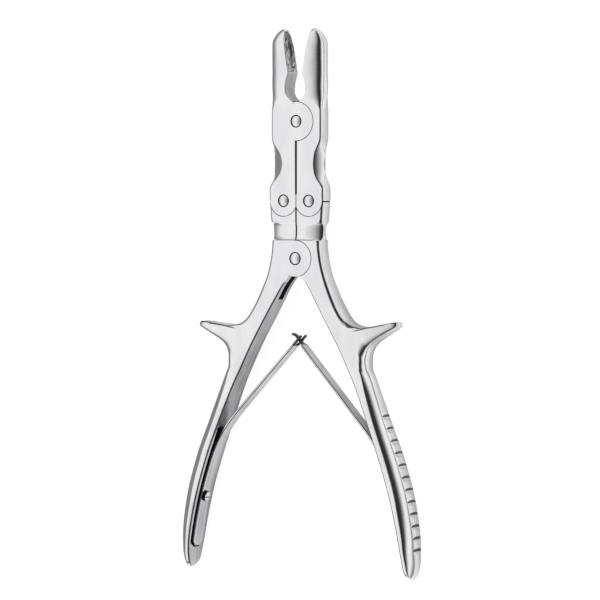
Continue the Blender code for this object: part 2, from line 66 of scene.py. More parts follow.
# Millimetres from the main pivot: height, inner and outer edge, half depth, rounding across and in depth,
# fullness of that rounding, rounding of the inner edge, crown of the outer side
GRIP_ROWS = (
    (-133.2, 53.45, 54.73, 1.42, 0.5, 1.0, 2.0, 0.5, 0.0),
    (-132.7, 53.05, 55.12, 2.30, 0.9, 1.6, 1.8, 0.6, 0.1),
    (-131.8, 52.60, 55.70, 3.55, 1.6, 2.4, 1.6, 0.6, 0.2),
    (-130.0, 52.10, 56.36, 4.80, 2.4, 3.0, 1.4, 0.6, 0.3),
    (-126.0, 51.77, 56.95, 5.96, 3.2, 3.4, 1.3, 0.6, 0.4),
    (-119.0, 50.82, 56.80, 6.82, 3.8, 3.6, 1.3, 0.6, 0.5),
    (-102.0, 47.24, 54.34, 7.10, 4.3, 3.5, 1.3, 0.6, 0.5),
    (-85.2, 42.04, 49.56, 7.10, 4.3, 3.5, 1.3, 0.6, 0.5),
    (-68.5, 35.64, 43.17, 6.53, 4.2, 3.4, 1.3, 0.6, 0.5),
    (-55.7, 30.39, 38.34, 5.72, 3.8, 3.2, 1.3, 0.6, 0.5),
    (-50.5, 27.95, 36.40, 5.38, 3.3, 3.1, 1.25, 0.6, 0.5),
    (-47.5, 26.40, 35.10, 5.25, 3.0, 3.0, 1.25, 0.6, 0.5),
    (-44.5, 24.90, 33.20, 5.18, 2.7, 2.9, 1.25, 0.6, 0.5),
    (-41.4, 23.36, 31.00, 5.18, 2.6, 2.8, 1.25, 0.6, 0.5),
    (-36.0, 20.50, 28.50, 5.18, 2.4, 2.2, 1.25, 0.6, 0.5),
    (-31.0, 17.60, 33.00, 5.18, 5.6, 1.6, 1.3, 0.6, 0.4),
    (-29.0, 16.41, 34.20, 5.18, 6.0, 1.3, 1.3, 0.6, 0.4),
    (-28.75, 16.26, 33.20, 5.18, 6.0, 1.1, 1.3, 0.6, 0.4),
    (-28.60, 16.17, 31.60, 5.18, 5.6, 1.0, 1.3, 0.6, 0.4),
    (-28.35, 16.03, 29.60, 5.18, 4.6, 1.0, 1.3, 0.6, 0.4),
    (-27.90, 15.77, 27.80, 5.18, 3.6, 1.0, 1.3, 0.6, 0.4),
    (-27.20, 15.36, 26.20, 5.18, 2.8, 1.0, 1.3, 0.6, 0.4),
    (-26.20, 14.77, 24.80, 5.18, 2.2, 1.0, 1.3, 0.6, 0.4),
    (-24.60, 13.82, 23.30, 5.18, 1.8, 1.0, 1.3, 0.6, 0.4),
    (-22.0, 12.30, 21.50, 5.10, 1.6, 0.95, 1.3, 0.6, 0.4),
    (-17.9, 9.84, 19.21, 4.85, 1.6, 0.95, 1.3, 0.6, 0.4),
    (-10.9, 5.60, 16.00, 4.45, 1.5, 0.9, 1.3, 0.5, 0.4),
    (-7.3, 2.70, 14.60, 4.20, 1.4, 0.9, 1.3, 0.4, 0.4),
    (0.0, 0.25, 12.60, 4.20, 1.3, 0.8, 1.3, 0.2, 0.3),
    (6.2, 0.25, 11.90, 4.20, 1.3, 0.8, 1.3, 0.2, 0.3),
    (7.6, 0.25, 11.90, 4.20, 1.6, 0.9, 1.3, 0.2, 0.3),
    (8.1, 0.25, 12.20, 3.65, 6.4, 2.0, 1.4, 0.2, 0.3),
    (9.6, 0.25, 12.45, 3.20, 8.2, 2.3, 1.55, 0.2, 0.3),
    (11.6, 0.25, 12.55, 3.05, 8.6, 2.4, 1.55, 0.2, 0.3),
    (13.4, 0.25, 12.65, 3.12, 8.0, 2.3, 1.55, 0.2, 0.3),
    (14.7, 0.25, 12.75, 3.30, 4.6, 1.7, 1.4, 0.2, 0.3),
    (15.4, 0.25, 12.80, 3.40, 1.6, 0.9, 1.3, 0.2, 0.3),
    (17.0, 0.25, 12.90, 3.40, 1.1, 0.7, 1.3, 0.2, 0.3),
    (21.1, 0.25, 13.20, 3.40, 1.1, 0.7, 1.3, 0.2, 0.3),
    (23.75, 0.25, 13.50, 3.40, 1.1, 0.7, 1.3, 0.2, 0.3),
)


def eased(rows, step):
    """Fills in rows between the given ones on a curve that never overshoots them."""
    rows = sorted(rows)
    gaps = [b[0] - a[0] for a, b in zip(rows, rows[1:])]
    slopes = [[(q - p) / gap for p, q in zip(a, b)] for a, b, gap in zip(rows, rows[1:], gaps)]
    tangents = [slopes[0]]
    for before, after in zip(slopes, slopes[1:]):
        tangents.append([2 * p * q / (p + q) if p * q > 0 else 0 for p, q in zip(before, after)])
    tangents.append(slopes[-1])
    filled = []
    for k, gap in enumerate(gaps):
        count = max(1, math.ceil(gap / step))
        for i in range(count):
            t = i / count
            row = []
            for p, q, m, n in zip(rows[k], rows[k + 1], tangents[k], tangents[k + 1]):
                value = (1 + 2 * t) * (1 - t) ** 2 * p + t * t * (3 - 2 * t) * q
                row.append(value + gap * (t * (1 - t) ** 2 * m - t * t * (1 - t) * n))
            row[0] = rows[k][0] + t * gap
            filled.append(row)
    return filled + [list(rows[-1])]


def sweep(name, rings):
    """Extrudes a filled circle through rings of equally many points and shapes each new ring."""
    bpy.ops.object.select_all(action="DESELECT")
    bpy.ops.mesh.primitive_circle_add(vertices=len(rings[0]), radius=0.01, fill_type="NGON")
    piece = bpy.context.object
    piece.name = name
    order = [vert.co.copy() for vert in piece.data.vertices]
    bpy.ops.object.mode_set(mode="EDIT")
    for k, ring in enumerate(rings):
        if k:
            bpy.ops.mesh.extrude_region_move()
        mesh = bmesh.from_edit_mesh(piece.data)
        fresh = [vert for vert in mesh.verts if vert.select]
        index = [min(range(len(order)), key=lambda i: (vert.co - order[i]).length_squared) for vert in fresh]
        for vert, i in zip(fresh, index):
            vert.co = ring[i]
        order = [Vector(place) for place in ring]
    bpy.ops.mesh.select_all(action="SELECT")
    bpy.ops.mesh.normals_make_consistent(inside=False)
    bpy.ops.object.mode_set(mode="OBJECT")
    return piece


def section(side, pivot_y, row):
    """One section of a handle or a jaw, in metres, from its row in millimetres."""
    y, inner, outer, half, round_x, round_z, fullness, inner_round, crown = row
    round_z = min(round_z, half - 0.05)
    round_x = min(round_x, outer - crown - inner - 0.05)
    inner_x = min(inner_round, outer - crown - inner - round_x)
    inner_z = min(inner_round, half - 0.05)
    front = []
    for degrees in (90, 45, 0):
        angle = math.radians(degrees)
        front.append((inner + inner_x * (1 - math.sin(angle)), half - inner_z * (1 - math.cos(angle))))
    corner_x, corner_z = outer - crown - round_x, half - round_z
    for i in range(9):
        angle = math.pi / 2 * i / 8
        x = corner_x + round_x * max(0.0, math.sin(angle)) ** (2 / fullness)
        front.append((x, corner_z + round_z * max(0.0, math.cos(angle)) ** (2 / fullness)))
    for share in (0.66, 0.33):
        front.append((outer - crown * share**2, corner_z * share))
    ring = front + [(outer, 0)] + [(x, -z) for x, z in reversed(front)]
    return [(side * x / 1000, pivot_y + y / 1000, MID + z / 1000) for x, z in ring]


def disc(x, y, radius, low, high, vertices=96):
    """A round tool on the axis of a pin, between two depths from the middle."""
    bpy.ops.object.select_all(action="DESELECT")
    bpy.ops.mesh.primitive_cylinder_add(
        vertices=vertices, radius=radius, depth=high - low, location=(x, y, MID + (low + high) / 2)
    )
    tool = bpy.context.object
    bpy.ops.object.transform_apply(location=True, rotation=True, scale=True)
    return tool


def half_disc(side, x, y, radius, half):
    """The same, sawn off flat beside the slit between left and right."""
    tool = disc(x, y, radius, -half, half)
    bpy.ops.object.mode_set(mode="EDIT")
    bpy.ops.mesh.select_all(action="SELECT")
    bpy.ops.mesh.bisect(
        plane_co=(side * (SLIT + LAP), 0, 0), plane_no=(-side, 0, 0), use_fill=True, clear_outer=True
    )
    bpy.ops.object.mode_set(mode="OBJECT")
    return tool


def join(piece, tool, operation):
    """Welds a tool to a piece, or cuts it out, and clears the tool away."""
    work = piece.modifiers.new(operation, "BOOLEAN")
    work.operation = operation
    work.object = tool
    work.solver = "EXACT"
    bpy.ops.object.select_all(action="DESELECT")
    bpy.context.view_layer.objects.active = piece
    piece.select_set(True)
    bpy.ops.object.modifier_apply(modifier=work.name)
    bpy.data.objects.remove(tool, do_unlink=True)


def block(place, size, turn=0.0):
    """A milling cut with flat sides, turned about the vertical."""
    bpy.ops.object.select_all(action="DESELECT")
    bpy.ops.mesh.primitive_cube_add(size=1, location=place, rotation=(0, 0, turn))
    tool = bpy.context.object
    tool.scale = size
    bpy.ops.object.transform_apply(location=True, rotation=True, scale=True)
    return tool


def clean(piece, angle=33):
    """Clears the cuts' leftovers and shades the piece smooth, with its milled flats kept flat."""
    bpy.ops.object.select_all(action="DESELECT")
    bpy.context.view_layer.objects.active = piece
    piece.select_set(True)
    bpy.ops.object.mode_set(mode="EDIT")
    bpy.ops.mesh.select_all(action="SELECT")
    bpy.ops.mesh.remove_doubles(threshold=0.00002)
    bpy.ops.mesh.dissolve_limited(angle_limit=math.radians(0.2))
    bpy.ops.mesh.normals_make_consistent(inside=False)
    bpy.ops.object.mode_set(mode="OBJECT")
    bpy.ops.object.shade_smooth_by_angle(angle=math.radians(angle))
    flats = piece.modifiers.new("flats", "WEIGHTED_NORMAL")
    flats.keep_sharp = True
    bpy.ops.object.modifier_apply(modifier="flats")


def tint(piece, material, test):
    """Gives a finish to the faces that a test on their middle and normal picks."""
    piece.data.materials.append(material)
    for face in piece.data.polygons:
        if test(face.center, face.normal):
            face.material_index = len(piece.data.materials) - 1


def in_seam(middle, normal):
    """Faces inside the joints' bores, pockets and slits: upright ones near a pivot or the centre line."""
    if abs(normal.z) > 0.6 or middle.y < MAIN_Y - 0.0088:
        return False
    if abs(middle.x) < 0.0005 and middle.y < JAW_Y + 0.0085:
        return True
    spots = ((0, MAIN_Y, 0.0081), (0, JAW_Y, 0.0086), (LINK_X, LINK_Y, 0.0069))
    return any(math.hypot(abs(middle.x) - x, middle.y - y) < reach for x, y, reach in spots)


GRIP_CURVE = eased(GRIP_ROWS, 1.2)


def grip_face(y, column=1):
    """Inner or outer edge of a handle, by its column, at a height, and its slope there, in millimetres."""
    for low, high in zip(GRIP_CURVE, GRIP_CURVE[1:]):
        if low[0] <= y <= high[0]:
            slope = (high[column] - low[column]) / (high[0] - low[0])
            return low[column] + slope * (y - low[0]), slope
    return GRIP_CURVE[0][column], 0.0


# Ribs of the rest, in millimetres from the main pivot: foot (x, y), head (x, y), half depth,
# rounding of the foot along the rib and in depth, rounding of the head, fullness of both
REST_RIBS = (
    (34.95, -48.6, 27.0, -44.0, 5.19, 4.0, 3.1, 1.0, 1.3),
    (34.30, -46.2, 24.5, -39.5, 5.19, 3.5, 2.95, 1.0, 1.4),
    (33.95, -43.9, 22.0, -34.5, 5.19, 3.4, 2.8, 1.0, 1.6),
    (33.95, -41.9, 20.2, -31.0, 5.19, 3.8, 2.9, 1.0, 1.7),
    (34.30, -40.1, 20.8, -30.0, 5.19, 4.1, 3.0, 1.0, 1.8),
    (34.90, -38.5, 22.0, -29.8, 5.19, 4.2, 3.0, 1.0, 1.9),
    (35.80, -37.0, 24.0, -29.8, 5.19, 4.5, 3.0, 1.0, 2.0),
    (37.10, -35.6, 26.8, -29.8, 5.19, 4.0, 2.9, 1.0, 2.1),
    (38.80, -34.3, 30.2, -29.5, 5.12, 3.4, 2.6, 1.0, 2.1),
    (40.80, -33.1, 34.2, -28.5, 4.90, 2.6, 2.3, 1.1, 2.0),
    (43.20, -31.75, 38.4, -27.85, 4.50, 2.0, 2.0, 1.1, 2.0),
    (45.30, -30.55, 42.4, -27.15, 4.00, 1.6, 1.7, 1.0, 2.0),
    (46.90, -29.55, 45.3, -26.65, 3.55, 1.2, 1.4, 0.9, 2.0),
    (47.90, -28.9, 47.1, -26.45, 3.00, 0.9, 1.1, 0.8, 2.0),
    (48.50, -28.3, 48.1, -26.75, 2.20, 0.5, 0.8, 0.5, 2.0),
    (48.65, -27.8, 48.55, -27.2, 1.20, 0.2, 0.4, 0.2, 2.0),
)


# The tips of the rests lie higher on the right and lower on the left. In millimetres: by how much, how far
# off the centre line that begins, and over what width it grows
TIP_LIFT = {1: 0.5, -1: -0.9}
TIP_START, TIP_REACH = 29, 19.7


def thumb_rest(side):
    """A fan of ribs from the outer edge of the handle round the web to the tip."""
    rings = []
    keys = [[k] + list(rib) for k, rib in enumerate(REST_RIBS)]
    for _, foot_x, foot_y, head_x, head_y, half, run, drop, top, fullness in eased(keys, 0.25):
        length = math.hypot(head_x - foot_x, head_y - foot_y)
        crown = min(0.4, run * 0.2)
        front = [(crown * share**2, (half - drop) * share) for share in (0.33, 0.66)]
        for i in range(9):
            angle = math.pi / 2 * i / 8
            u = crown + run * (1 - max(0.0, math.cos(angle)) ** (2 / fullness))
            front.append((u, half - drop * (1 - max(0.0, math.sin(angle)) ** (2 / fullness))))
        for i in range(6):
            angle = math.pi / 2 * i / 5
            u = length - top * (1 - math.sin(angle) ** (2 / fullness))
            front.append((u, half - top * 0.65 * (1 - max(0.0, math.cos(angle)) ** (2 / fullness))))
        ring = [(0, 0)] + front + [(u, -w) for u, w in reversed(front)]
        spot = []
        for u, w in ring:
            x = foot_x + (head_x - foot_x) * u / length
            y = foot_y + (head_y - foot_y) * u / length
            y += TIP_LIFT[side] * (max(0.0, x - TIP_START) / TIP_REACH) ** 1.3
            spot.append((side * x / 1000, MAIN_Y + y / 1000, MID + w / 1000))
        rings.append(spot)
    return sweep("rest", rings)


# The channel for a leaf spring and the screw in it, in millimetres from the main pivot: its ends, its depth,
# its reach to the front and the back, and where the round of its lower end starts and how far up it goes
CHANNEL_FOOT, CHANNEL_HEAD, CHANNEL_DEPTH = -124.8, -72.8, 0.9
CHANNEL_FRONT, CHANNEL_BACK = 5.3, 4.1
ROUND_FOOT, ROUND_REACH = -125.0, 3.4
SCREW_Y, SCREW_BORE = -102.5, 1.45


def screw_place(side):
    """Where a screw meets the inner face of its handle, and the way its head points."""
    face, slope = grip_face(SCREW_Y)
    out = Vector((-side, slope, 0)).normalized()
    return Vector((side * face / 1000, MAIN_Y + SCREW_Y / 1000, MID)), out


def channel_half(y):
    """How far the channel for the leaf spring reaches to the front, rounded off at its lower end."""
    end = min(1.0, max(0.0, (y - ROUND_FOOT) / ROUND_REACH))
    return CHANNEL_FRONT * math.sqrt(1 - (1 - end) ** 2)


# The notches down the outer side, in millimetres: how many, the height of the first one from the main pivot,
# the pitch down to the next, the radius, and how far outside the edge they are centred
NOTCHES, NOTCH_START, NOTCH_PITCH = 12, -65.4, 5.05
NOTCH_RADIUS, NOTCH_OUT = 1.7, 1.15

# The mouth in the left cheeks that lets the right handle swing
MOUTH = Vector((-0.0052, MAIN_Y - 0.0128, MID))
MOUTH_SIZE = (0.0056, 0.0125, 0.0038)
MOUTH_TURN = math.radians(-27)


def handle(name, side):
    """Sweeps a handle, welds its rest and tongues to it and mills the joints, channel, bores and notches."""
    piece = sweep(name, [section(side, MAIN_Y, row) for row in GRIP_CURVE])
    join(piece, thumb_rest(side), "UNION")
    join(piece, half_disc(side, side * LINK_X, LINK_Y, LINK_TONGUE, 0.0022), "UNION")
    if side > 0:
        join(piece, disc(0, MAIN_Y, LOCK_TONGUE, -0.0032, 0.0032), "UNION")
        join(piece, disc(0, MAIN_Y, LOCK_POCKET, 0.0016, DEEP), "DIFFERENCE")
        join(piece, disc(0, MAIN_Y, LOCK_POCKET, -DEEP, -0.0016), "DIFFERENCE")
    else:
        join(piece, disc(0, MAIN_Y, LOCK_CHEEK, -LOCK_HALF - LAP, LOCK_HALF + LAP), "UNION")
        join(piece, disc(0, MAIN_Y, LOCK_POCKET, -0.0019, 0.0019), "DIFFERENCE")
        join(piece, block(MOUTH, MOUTH_SIZE, MOUTH_TURN), "DIFFERENCE")
    for low, high in ((0.0011, DEEP), (-DEEP, -0.0011)):
        join(piece, disc(side * LINK_X, LINK_Y, LINK_POCKET, low, high), "DIFFERENCE")
    join(piece, disc(side * LINK_X, LINK_Y, LINK_BORE, -THROUGH, THROUGH, 48), "DIFFERENCE")
    join(piece, disc(0, MAIN_Y, LOCK_BORE, -THROUGH, THROUGH, 48), "DIFFERENCE")
    channel = []
    for i in range(33):
        y = CHANNEL_FOOT + i * (CHANNEL_HEAD - CHANNEL_FOOT) / 32
        face = grip_face(y)[0]
        half = channel_half(y)
        back = min(half, CHANNEL_BACK)
        floor = face + CHANNEL_DEPTH
        corners = ((face - 3, -back), (floor, -back), (floor, half), (face - 3, half))
        channel.append([(side * x / 1000, MAIN_Y + y / 1000, MID + z / 1000) for x, z in corners])
    join(piece, sweep("channel", channel), "DIFFERENCE")
    centre, out = screw_place(side)
    bpy.ops.object.select_all(action="DESELECT")
    turn = out.to_track_quat("Z", "Y").to_euler()
    bpy.ops.mesh.primitive_cylinder_add(
        vertices=32, radius=SCREW_BORE / 1000, depth=0.012, location=centre + out * 0.0015, rotation=turn
    )
    hole = bpy.context.object
    bpy.ops.object.transform_apply(location=True, rotation=True, scale=True)
    join(piece, hole, "DIFFERENCE")
    for k in range(NOTCHES):
        y = NOTCH_START - NOTCH_PITCH * k
        centre_x = side * (grip_face(y, 2)[0] + NOTCH_OUT) / 1000
        cutter = disc(centre_x, MAIN_Y + y / 1000, NOTCH_RADIUS / 1000, -0.0080, 0.0080, 40)
        join(piece, cutter, "DIFFERENCE")
    clean(piece)
    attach(piece, name.replace("_body", ""))
    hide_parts(name.replace("_body", ""))
    return piece


def srgb(code):
    """A hex colour as the linear values that a shader takes."""
    parts = [int(code[i : i + 2], 16) / 255 for i in (0, 2, 4)]
    return [p / 12.92 if p <= 0.04045 else ((p + 0.055) / 1.055) ** 2.4 for p in parts] + [1]


def add(tree, kind, settings=None, links=None):
    """Adds a node with its settings and links."""
    made = tree.nodes.new(kind)
    for key, value in (settings or {}).items():
        if isinstance(key, int) or key in made.inputs:
            made.inputs[key].default_value = value
        else:
            setattr(made, key, value)
    for key, source in (links or {}).items():
        tree.links.new(source, made.inputs[key])
    return made


def combine(tree, operation, first, second):
    """The result of a calculation with two values."""
    return add(tree, "ShaderNodeMath", {"operation": operation}, {0: first, 1: second}).outputs[0]


def steel(name, light, dark, roughness, grain_mm, lie, cloud_mm=7.0):
    """Steel with a fine grinding grain along it, a cloudy tone, and painted shade in streaks across the depth
    of its sides.
    """
    material = bpy.data.materials.new(name)
    material.use_nodes = True
    tree = material.node_tree
    tree.nodes.clear()
    place = add(tree, "ShaderNodeTexCoord").outputs["Object"]
    fine = 1000 / grain_mm
    long = {"Rotation": (0, 0, lie), "Scale": (fine, fine * 0.04, fine)}
    grained = add(tree, "ShaderNodeMapping", long, {0: place})
    rough = {"Scale": 1.0, "Detail": 3.0, "Roughness": 0.6}
    grain = add(tree, "ShaderNodeTexNoise", rough, {0: grained.outputs[0]})
    broad = 1000 / cloud_mm
    wide = {"Rotation": (0, 0, lie), "Scale": (broad, broad * 0.3, broad)}
    spread = add(tree, "ShaderNodeMapping", wide, {0: place})
    clouds = add(tree, "ShaderNodeTexNoise", {"Scale": 1.0, "Detail": 2.0}, {0: spread.outputs[0]})
    tone = add(tree, "ShaderNodeMapRange", {"From Min": 0.38, "From Max": 0.62}, {"Value": clouds.outputs[0]})
    tones = {"data_type": "RGBA", 6: srgb(dark), 7: srgb(light)}
    ground = add(tree, "ShaderNodeMix", tones, {0: tone.outputs[0]})
    # Painted shade: faces that turn sideways are darkened in streaks across their depth
    layered = add(tree, "ShaderNodeMapping", {"Scale": (60, 25, 900)}, {0: place})
    streaks = add(tree, "ShaderNodeTexNoise", {"Scale": 1.0, "Detail": 3.0}, {0: layered.outputs[0]})
    facing = add(tree, "ShaderNodeSeparateXYZ", {}, {0: add(tree, "ShaderNodeTexCoord").outputs["Normal"]})
    flat = add(tree, "ShaderNodeMath", {"operation": "ABSOLUTE"}, {0: facing.outputs["Z"]})
    side_on = add(tree, "ShaderNodeMapRange", {"From Min": 0.5, "From Max": 0.1}, {"Value": flat.outputs[0]})
    faint = {"From Min": 0.45, "From Max": 0.7, "To Max": 0.5}
    side_streak_shade = add(tree, "ShaderNodeMapRange", faint, {"Value": streaks.outputs[0]})
    amount = combine(tree, "MULTIPLY", side_on.outputs[0], side_streak_shade.outputs[0])
    streak_shade_mix = {"data_type": "RGBA", "blend_type": "MULTIPLY", 7: srgb("9A9A9C")}
    colour = add(tree, "ShaderNodeMix", streak_shade_mix, {0: amount, 6: ground.outputs[2]})
    span = {"From Min": 0.3, "From Max": 0.7, "To Min": roughness * 0.85, "To Max": roughness * 1.15}
    gloss = add(tree, "ShaderNodeMapRange", span, {"Value": grain.outputs[0]})
    scratches = {"Strength": 0.05, "Distance": 0.00003}
    relief = add(tree, "ShaderNodeBump", scratches, {"Height": grain.outputs[0]})
    surface = {"Base Color": colour.outputs[2], "Roughness": gloss.outputs[0], "Normal": relief.outputs[0]}
    shader = add(tree, "ShaderNodeBsdfPrincipled", {"Metallic": 1.0}, surface)
    add(tree, "ShaderNodeOutputMaterial", {}, {"Surface": shader.outputs[0]})
    return material


# Forged stainless steel brushed to a fine satin: bright, with soft-edged reflections. Its real grain is about
# 0.05 mm wide and is drawn at 0.35 mm, as coarse as it needs to be to show, here and in the finishes below.
satin = steel("satin_stainless", "F0F0F1", "E8E8EA", 0.14, 0.35, 0.0)
# The same steel straight from the milling cutter, on the inner faces: more matt, and greyer with painted
# shade
milled_shade = steel("milled_shade_stainless", "DADADC", "CACACD", 0.30, 0.35, 0.0)
# The same steel unpolished inside joints, channels and slots, painted nearly black for the shade there
seam_shade = steel("unpolished_seam_shade_stainless", "2A2A2B", "1C1C1D", 0.55, 0.35, 0.0)
# Edges and notch walls in a dull forged grey, darkened with painted shade that draws fine lines round the
# bright flats
forged_edge_shade = steel("forged_edge_shade_stainless", "6C6C6E", "57575A", 0.35, 0.35, 0.0)

for side, name in ((-1, "left_handle_body"), (1, "right_handle_body")):
    body = handle(name, side)
    body.data.materials.append(satin)
    # Inner faces: the more matt steel, greyer with painted shade
    tint(body, milled_shade, lambda c, n: n.x * side < -0.75 and c.y < MAIN_Y - 0.009)
    # Tilted edges along the grips: painted dark lines of shade
    tint(body, forged_edge_shade, lambda c, n: -0.97 < n.x * side < -0.25 and abs(n.z) > 0.2 and c.y < MAIN_Y - 0.010)
    # Faces inside the joints: painted near-black shade
    tint(body, seam_shade, in_seam)

    # Painted shade on the faces in the channel, in the mouth, in a notch and along the rest's upper edge,
    # clear of the web
    def in_channel(c, n):
        y = (c.y - MAIN_Y) * 1000
        depth = side * c.x * 1000 - grip_face(y)[0]
        return -126 < y < -72 and 0.06 < depth < 1.0 and abs(c.z - MID) * 1000 < channel_half(y) + 0.1

    def in_mouth(c, n):
        spot = Matrix.Rotation(-MOUTH_TURN, 3, "Z") @ (c - MOUTH)
        return side < 0 and abs(spot.x) < 0.00282 and abs(spot.y) < 0.0050 and abs(spot.z) < 0.00192

    def in_notch(c, n):
        y = (c.y - MAIN_Y) * 1000
        nearest = min(NOTCHES - 1, max(0, round((NOTCH_START - y) / NOTCH_PITCH)))
        near = NOTCH_START - NOTCH_PITCH * nearest
        away = math.hypot(side * c.x * 1000 - grip_face(near, 2)[0] - NOTCH_OUT, y - near)
        return away < NOTCH_RADIUS + 0.04 and n.y < 0.1

    def in_rest_edge(c, n):
        y = (c.y - MAIN_Y) * 1000
        clear = abs(c.x) > (0.0245 if side > 0 else 0.0290)
        return clear and -33 < y < -25 and n.y > 0.35 and 0.35 < abs(n.z) < 0.9

    tint(body, seam_shade, in_channel)
    tint(body, seam_shade, in_mouth)
    tint(body, forged_edge_shade, in_notch)
    tint(body, forged_edge_shade, in_rest_edge)

# Jaws
# The two jaws are forged from the same steel and ground hollow at the waist, where the light breaks off. Each
# ends in a cup with a sharp rim. The left jaw has the two cheeks of the jaw joint, the right one its tongue.

# Millimetres from the jaw pivot, in the same columns as the handles
JAW_ROWS = (
    (-33.5, 0.36, 13.50, 3.40, 0.9, 0.6, 1.4, 0.2, 0.3),
    (-28.4, 0.36, 13.50, 3.40, 0.9, 0.6, 1.4, 0.2, 0.3),
    (-26.8, 0.36, 13.30, 3.40, 1.4, 1.1, 1.2, 0.2, 0.3),
    (-24.6, 0.36, 12.90, 3.40, 2.6, 2.2, 1.1, 0.2, 0.3),
    (-21.8, 0.36, 12.50, 3.40, 3.6, 3.0, 1.1, 0.2, 0.3),
    (-18.1, 0.36, 12.30, 3.40, 3.9, 3.2, 1.1, 0.2, 0.3),
    (-14.2, 0.36, 12.40, 3.40, 3.6, 3.0, 1.1, 0.2, 0.3),
    (-11.2, 0.36, 12.40, 3.40, 2.5, 2.1, 1.1, 0.2, 0.3),
    (-8.6, 0.36, 12.40, 3.40, 1.2, 1.0, 1.3, 0.2, 0.3),
    (-6.5, 0.36, 12.45, 3.40, 0.9, 0.6, 1.4, 0.2, 0.3),
    (4.5, 0.36, 12.50, 3.40, 0.9, 0.7, 1.4, 0.2, 0.3),
    (6.2, 0.36, 12.60, 3.45, 1.8, 1.4, 1.6, 0.2, 0.3),
    (8.4, 1.70, 12.75, 3.65, 5.0, 2.8, 2.4, 0.4, 0.2),
    (10.2, 3.70, 12.85, 3.90, 7.4, 3.6, 2.3, 0.4, 0.1),
    (13.0, 4.85, 12.95, 4.15, 7.4, 4.1, 2.3, 0.3, 0.0),
    (16.0, 4.60, 13.00, 4.30, 7.8, 4.2, 2.3, 0.3, 0.0),
    (18.5, 4.00, 13.00, 4.30, 8.4, 4.2, 2.3, 0.3, 0.0),
    (20.3, 3.50, 13.00, 4.30, 9.0, 4.2, 2.3, 0.2, 0.0),
    (20.9, 3.53, 13.00, 4.30, 8.9, 4.2, 2.3, 0.2, 0.0),
    (21.9, 3.70, 13.00, 4.30, 8.8, 4.2, 2.3, 0.2, 0.0),
    (30.5, 5.14, 13.00, 4.22, 7.6, 4.2, 2.3, 0.2, 0.0),
    (33.5, 5.64, 12.70, 3.90, 6.8, 3.8, 2.5, 0.2, 0.0),
    (36.0, 6.06, 11.60, 3.22, 5.3, 3.1, 2.4, 0.2, 0.0),
    (37.6, 6.33, 10.20, 2.45, 3.7, 2.4, 2.3, 0.2, 0.0),
    (38.6, 6.50, 9.00, 1.60, 2.3, 1.5, 2.2, 0.2, 0.0),
    (39.0, 6.74, 8.20, 0.90, 1.2, 0.8, 2.0, 0.2, 0.0),
)
# The left jaw is ground rounder along this stretch of its waist, in millimetres from the jaw pivot
WAIST_FOOT, WAIST_HEAD = -25.5, -9.5
# In metres: half depth of the joints, the radii of the jaw joint's tongue, cheeks and room, and of the fork
LINK_HALF = 0.0034
JAW_TONGUE, JAW_CHEEK, JAW_POCKET, LINK_FORK = 0.0078, 0.0081, 0.0084, 0.0064
# The slope of the jaws' rims, the middle of a cup on the rim, and the half sizes of the burr that cuts it
RIM_ANGLE = math.radians(9.5)
CUP_Y = JAW_Y + 0.0295
CUP_X = (CUP_Y - JAW_Y) * math.tan(RIM_ANGLE)
BURR = (0.0034, 0.0086, 0.0036)


def cup(side):
    """The spoon-shaped hollow, cut with a long round burr."""
    middle, turn = (side * CUP_X, CUP_Y, MID), (0, 0, -side * RIM_ANGLE)
    bpy.ops.object.select_all(action="DESELECT")
    bpy.ops.mesh.primitive_uv_sphere_add(segments=48, ring_count=24, radius=1, location=middle, rotation=turn)
    burr = bpy.context.object
    burr.scale = BURR
    bpy.ops.object.transform_apply(location=True, rotation=True, scale=True)
    return burr


def jaw(name, side):
    """Sweeps a jaw, welds its joints' discs to it and mills the slots, bores and cup."""
    rows = eased(JAW_ROWS, 0.9)
    for row in rows:
        if side < 0 and WAIST_FOOT < row[0] < WAIST_HEAD:
            row[4] *= 1 + 0.4 * math.sin(math.pi * (row[0] - WAIST_FOOT) / (WAIST_HEAD - WAIST_FOOT))
    piece = sweep(name, [section(side, JAW_Y, row) for row in rows])
    cheek = LINK_HALF + LAP
    if side > 0:
        join(piece, disc(0, JAW_Y, JAW_TONGUE, -0.0022, 0.0022), "UNION")
        join(piece, disc(0, JAW_Y, JAW_POCKET, 0.0011, DEEP), "DIFFERENCE")
        join(piece, disc(0, JAW_Y, JAW_POCKET, -DEEP, -0.0011), "DIFFERENCE")
    else:
        join(piece, disc(0, JAW_Y, JAW_CHEEK, -cheek, cheek), "UNION")
        join(piece, disc(0, JAW_Y, JAW_POCKET, -0.0014, 0.0014), "DIFFERENCE")
    join(piece, half_disc(side, side * LINK_X, LINK_Y, LINK_FORK, cheek), "UNION")
    join(piece, disc(side * LINK_X, LINK_Y, LINK_POCKET, -0.0014, 0.0014), "DIFFERENCE")
    join(piece, disc(side * LINK_X, LINK_Y, LINK_BORE, -THROUGH, THROUGH, 48), "DIFFERENCE")
    join(piece, disc(0, JAW_Y, LINK_BORE, -THROUGH, THROUGH, 48), "DIFFERENCE")
    join(piece, cup(side), "DIFFERENCE")
    clean(piece)
    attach(piece, name.replace("_body", ""))
    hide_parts(name.replace("_body", ""))
    piece.data.materials.append(satin)
    # Painted glints and shade in the cup's hollow, and painted shade on the joints' walls
    tint(piece, burr_glints, in_cup)
    tint(piece, seam_shade, in_seam)


def in_cup(middle, normal):
    """Faces on the burr's surface."""
    spot = Vector((abs(middle.x), middle.y, middle.z)) - Vector((CUP_X, CUP_Y, MID))
    spot.rotate(Matrix.Rotation(RIM_ANGLE, 3, "Z"))
    return (spot.x / BURR[0]) ** 2 + (spot.y / BURR[1]) ** 2 + (spot.z / BURR[2]) ** 2 < 1.01


